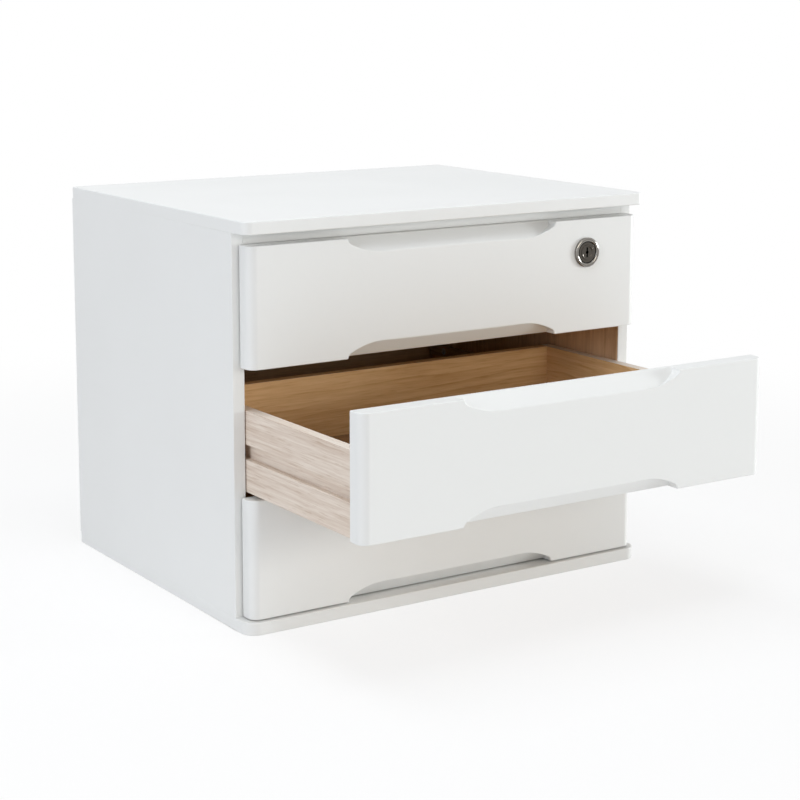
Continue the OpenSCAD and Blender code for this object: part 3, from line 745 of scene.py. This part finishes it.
class CABINET_OT_boxes(bpy.types.Operator):
    """Eases the drawers' bare sides and backs, and gives all box pieces their wood"""

    bl_idname = "cabinet.boxes"
    bl_label = "Drawer boxes"

    def execute(self, context):
        width, looks = context.scene.cabinet_sizes.wood_ease, finishes(context.scene)
        for level in LEVELS:
            for side in SIDES:
                inward = Vector((1.0 if side == "left" else -1.0, 0.0, 0.0))
                self.plank(f"{level}_drawer_{side}_side", 1, width, inward,
                           (looks["side"], looks["side_lining_shade"], looks["side_edge_painted_light"]))
            self.plank(f"{level}_drawer_back", 0, width, Vector((0.0, -1.0, 0.0)),
                       (looks["back"], looks["back_lining_shade"], looks["back_lining_shade"]))
            set_materials(frame["nodes"][level + "_drawer_bottom"], looks["ply"])
        return {"FINISHED"}

    @staticmethod
    def plank(node, axis, width, inward, materials):
        """A plank along axis with eased edges. Its materials are for outside, inner face and upper edge."""
        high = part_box(node)[1]
        piece = copy_of(node, "eased_" + node)
        ease(piece, lambda a, b: abs(a[axis] - b[axis]) > LONG_EDGE, width, 2)
        set_materials(piece, *materials)
        # Inner faces take the darker tones, painted shade inside the box.
        paint_faces(piece, lambda c, n: n.dot(inward) > SQUARE_ON, 1)
        # Upper edges take the third material: painted light on the sides, the painted-shade tones on the
        # back.
        paint_faces(piece, lambda c, n: n.z > 0.5 and near(high.z, c.z), 2)
        finish_piece(piece, node)


class CABINET_OT_runners(bpy.types.Operator):
    """Gives the runners their hardwood"""

    bl_idname = "cabinet.runners"
    bl_label = "Runners"

    def execute(self, context):
        for level in LEVELS:
            for side in SIDES:
                set_materials(frame["nodes"][f"{level}_{side}_runner"], finishes(context.scene)["runner"])
        return {"FINISHED"}


class CABINET_OT_lock(bpy.types.Operator):
    """Eases and plates the cam lock"""

    bl_idname = "cabinet.lock"
    bl_label = "Lock"

    def execute(self, context):
        width, looks = context.scene.cabinet_sizes.metal_ease, finishes(context.scene)
        front_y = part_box("top_drawer_front")[0].y
        low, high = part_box("lock_housing")
        axis = (low + high) / 2
        for node in ("lock_housing", "lock_plug"):
            piece = copy_of(node, "eased_" + node)
            ease(piece, lambda a, b: max(a.y, b.y) < front_y - LOCK_PROUD, width, 2)
            set_materials(piece, looks["lock"], looks["lock_core"], looks["lock_groove_shade"])
            paint_faces(piece, lambda c, n: math.hypot(c.x - axis.x, c.z - axis.z) < LOCK_CORE, 1)
            corners = [v.co for v in piece.data.vertices]
            radii = [math.hypot(p.x - axis.x, p.z - axis.z) for p in corners]
            # Faces down in the groove get the near-black painted shade.
            for face in piece.data.polygons:
                if all(LOCK_GROOVE[0] < radii[i] < LOCK_GROOVE[1] and corners[i].y < front_y
                       for i in face.vertices):
                    face.material_index = 2
            finish_piece(piece, node)
        for node in ("lock_nut", "lock_cam", "cam_bolt"):
            set_materials(frame["nodes"][node], looks["zinc"])
        return {"FINISHED"}


class CABINET_OT_fixings(bpy.types.Operator):
    """Gives screws, nails and dowels their finish"""

    bl_idname = "cabinet.fixings"
    bl_label = "Screws, nails and dowels"

    def execute(self, context):
        looks = finishes(context.scene)
        for node, packed in frame["nodes"].items():
            if node.endswith(("_screws", "_nails")):
                set_materials(packed, looks["zinc"])
            elif node.endswith("_dowels"):
                set_materials(packed, looks["dowel"])
        return {"FINISHED"}


class CABINET_PT_parts(bpy.types.Panel):
    """Lists the steps, the sizes and the colours"""

    bl_idname = "CABINET_PT_parts"
    bl_label = "Desktop Cabinet"
    bl_space_type = "VIEW_3D"
    bl_region_type = "UI"
    bl_category = "Cabinet"

    def draw(self, context):
        for operator in OPERATORS:
            self.layout.operator(operator.bl_idname)
        for name in GROUPS:
            values = getattr(context.scene, name)
            box = self.layout.box()
            for prop in values.bl_rna.properties:
                if not prop.is_readonly and prop.identifier != "name":
                    box.prop(values, prop.identifier)


OPERATORS = (CABINET_OT_stage, CABINET_OT_boards, CABINET_OT_fronts, CABINET_OT_boxes,
             CABINET_OT_runners, CABINET_OT_lock, CABINET_OT_fixings)
GROUPS = {"cabinet_sizes": CabinetSizes, "cabinet_colours": CabinetColours, "cabinet_stage": CabinetStage}


def register():
    for cls in (*GROUPS.values(), *OPERATORS, CABINET_PT_parts):
        bpy.utils.register_class(cls)
    for name, cls in GROUPS.items():
        setattr(bpy.types.Scene, name, PointerProperty(type=cls))


def unregister():
    for name in GROUPS:
        delattr(bpy.types.Scene, name)
    for cls in (CABINET_PT_parts, *reversed(OPERATORS), *GROUPS.values()):
        bpy.utils.unregister_class(cls)


def main():
    register()
    bpy.ops.cabinet.stage()
    bpy.ops.cabinet.boards()
    bpy.ops.cabinet.fronts()
    bpy.ops.cabinet.boxes()
    bpy.ops.cabinet.runners()
    bpy.ops.cabinet.lock()
    bpy.ops.cabinet.fixings()


if __name__ == "__main__":
    main()
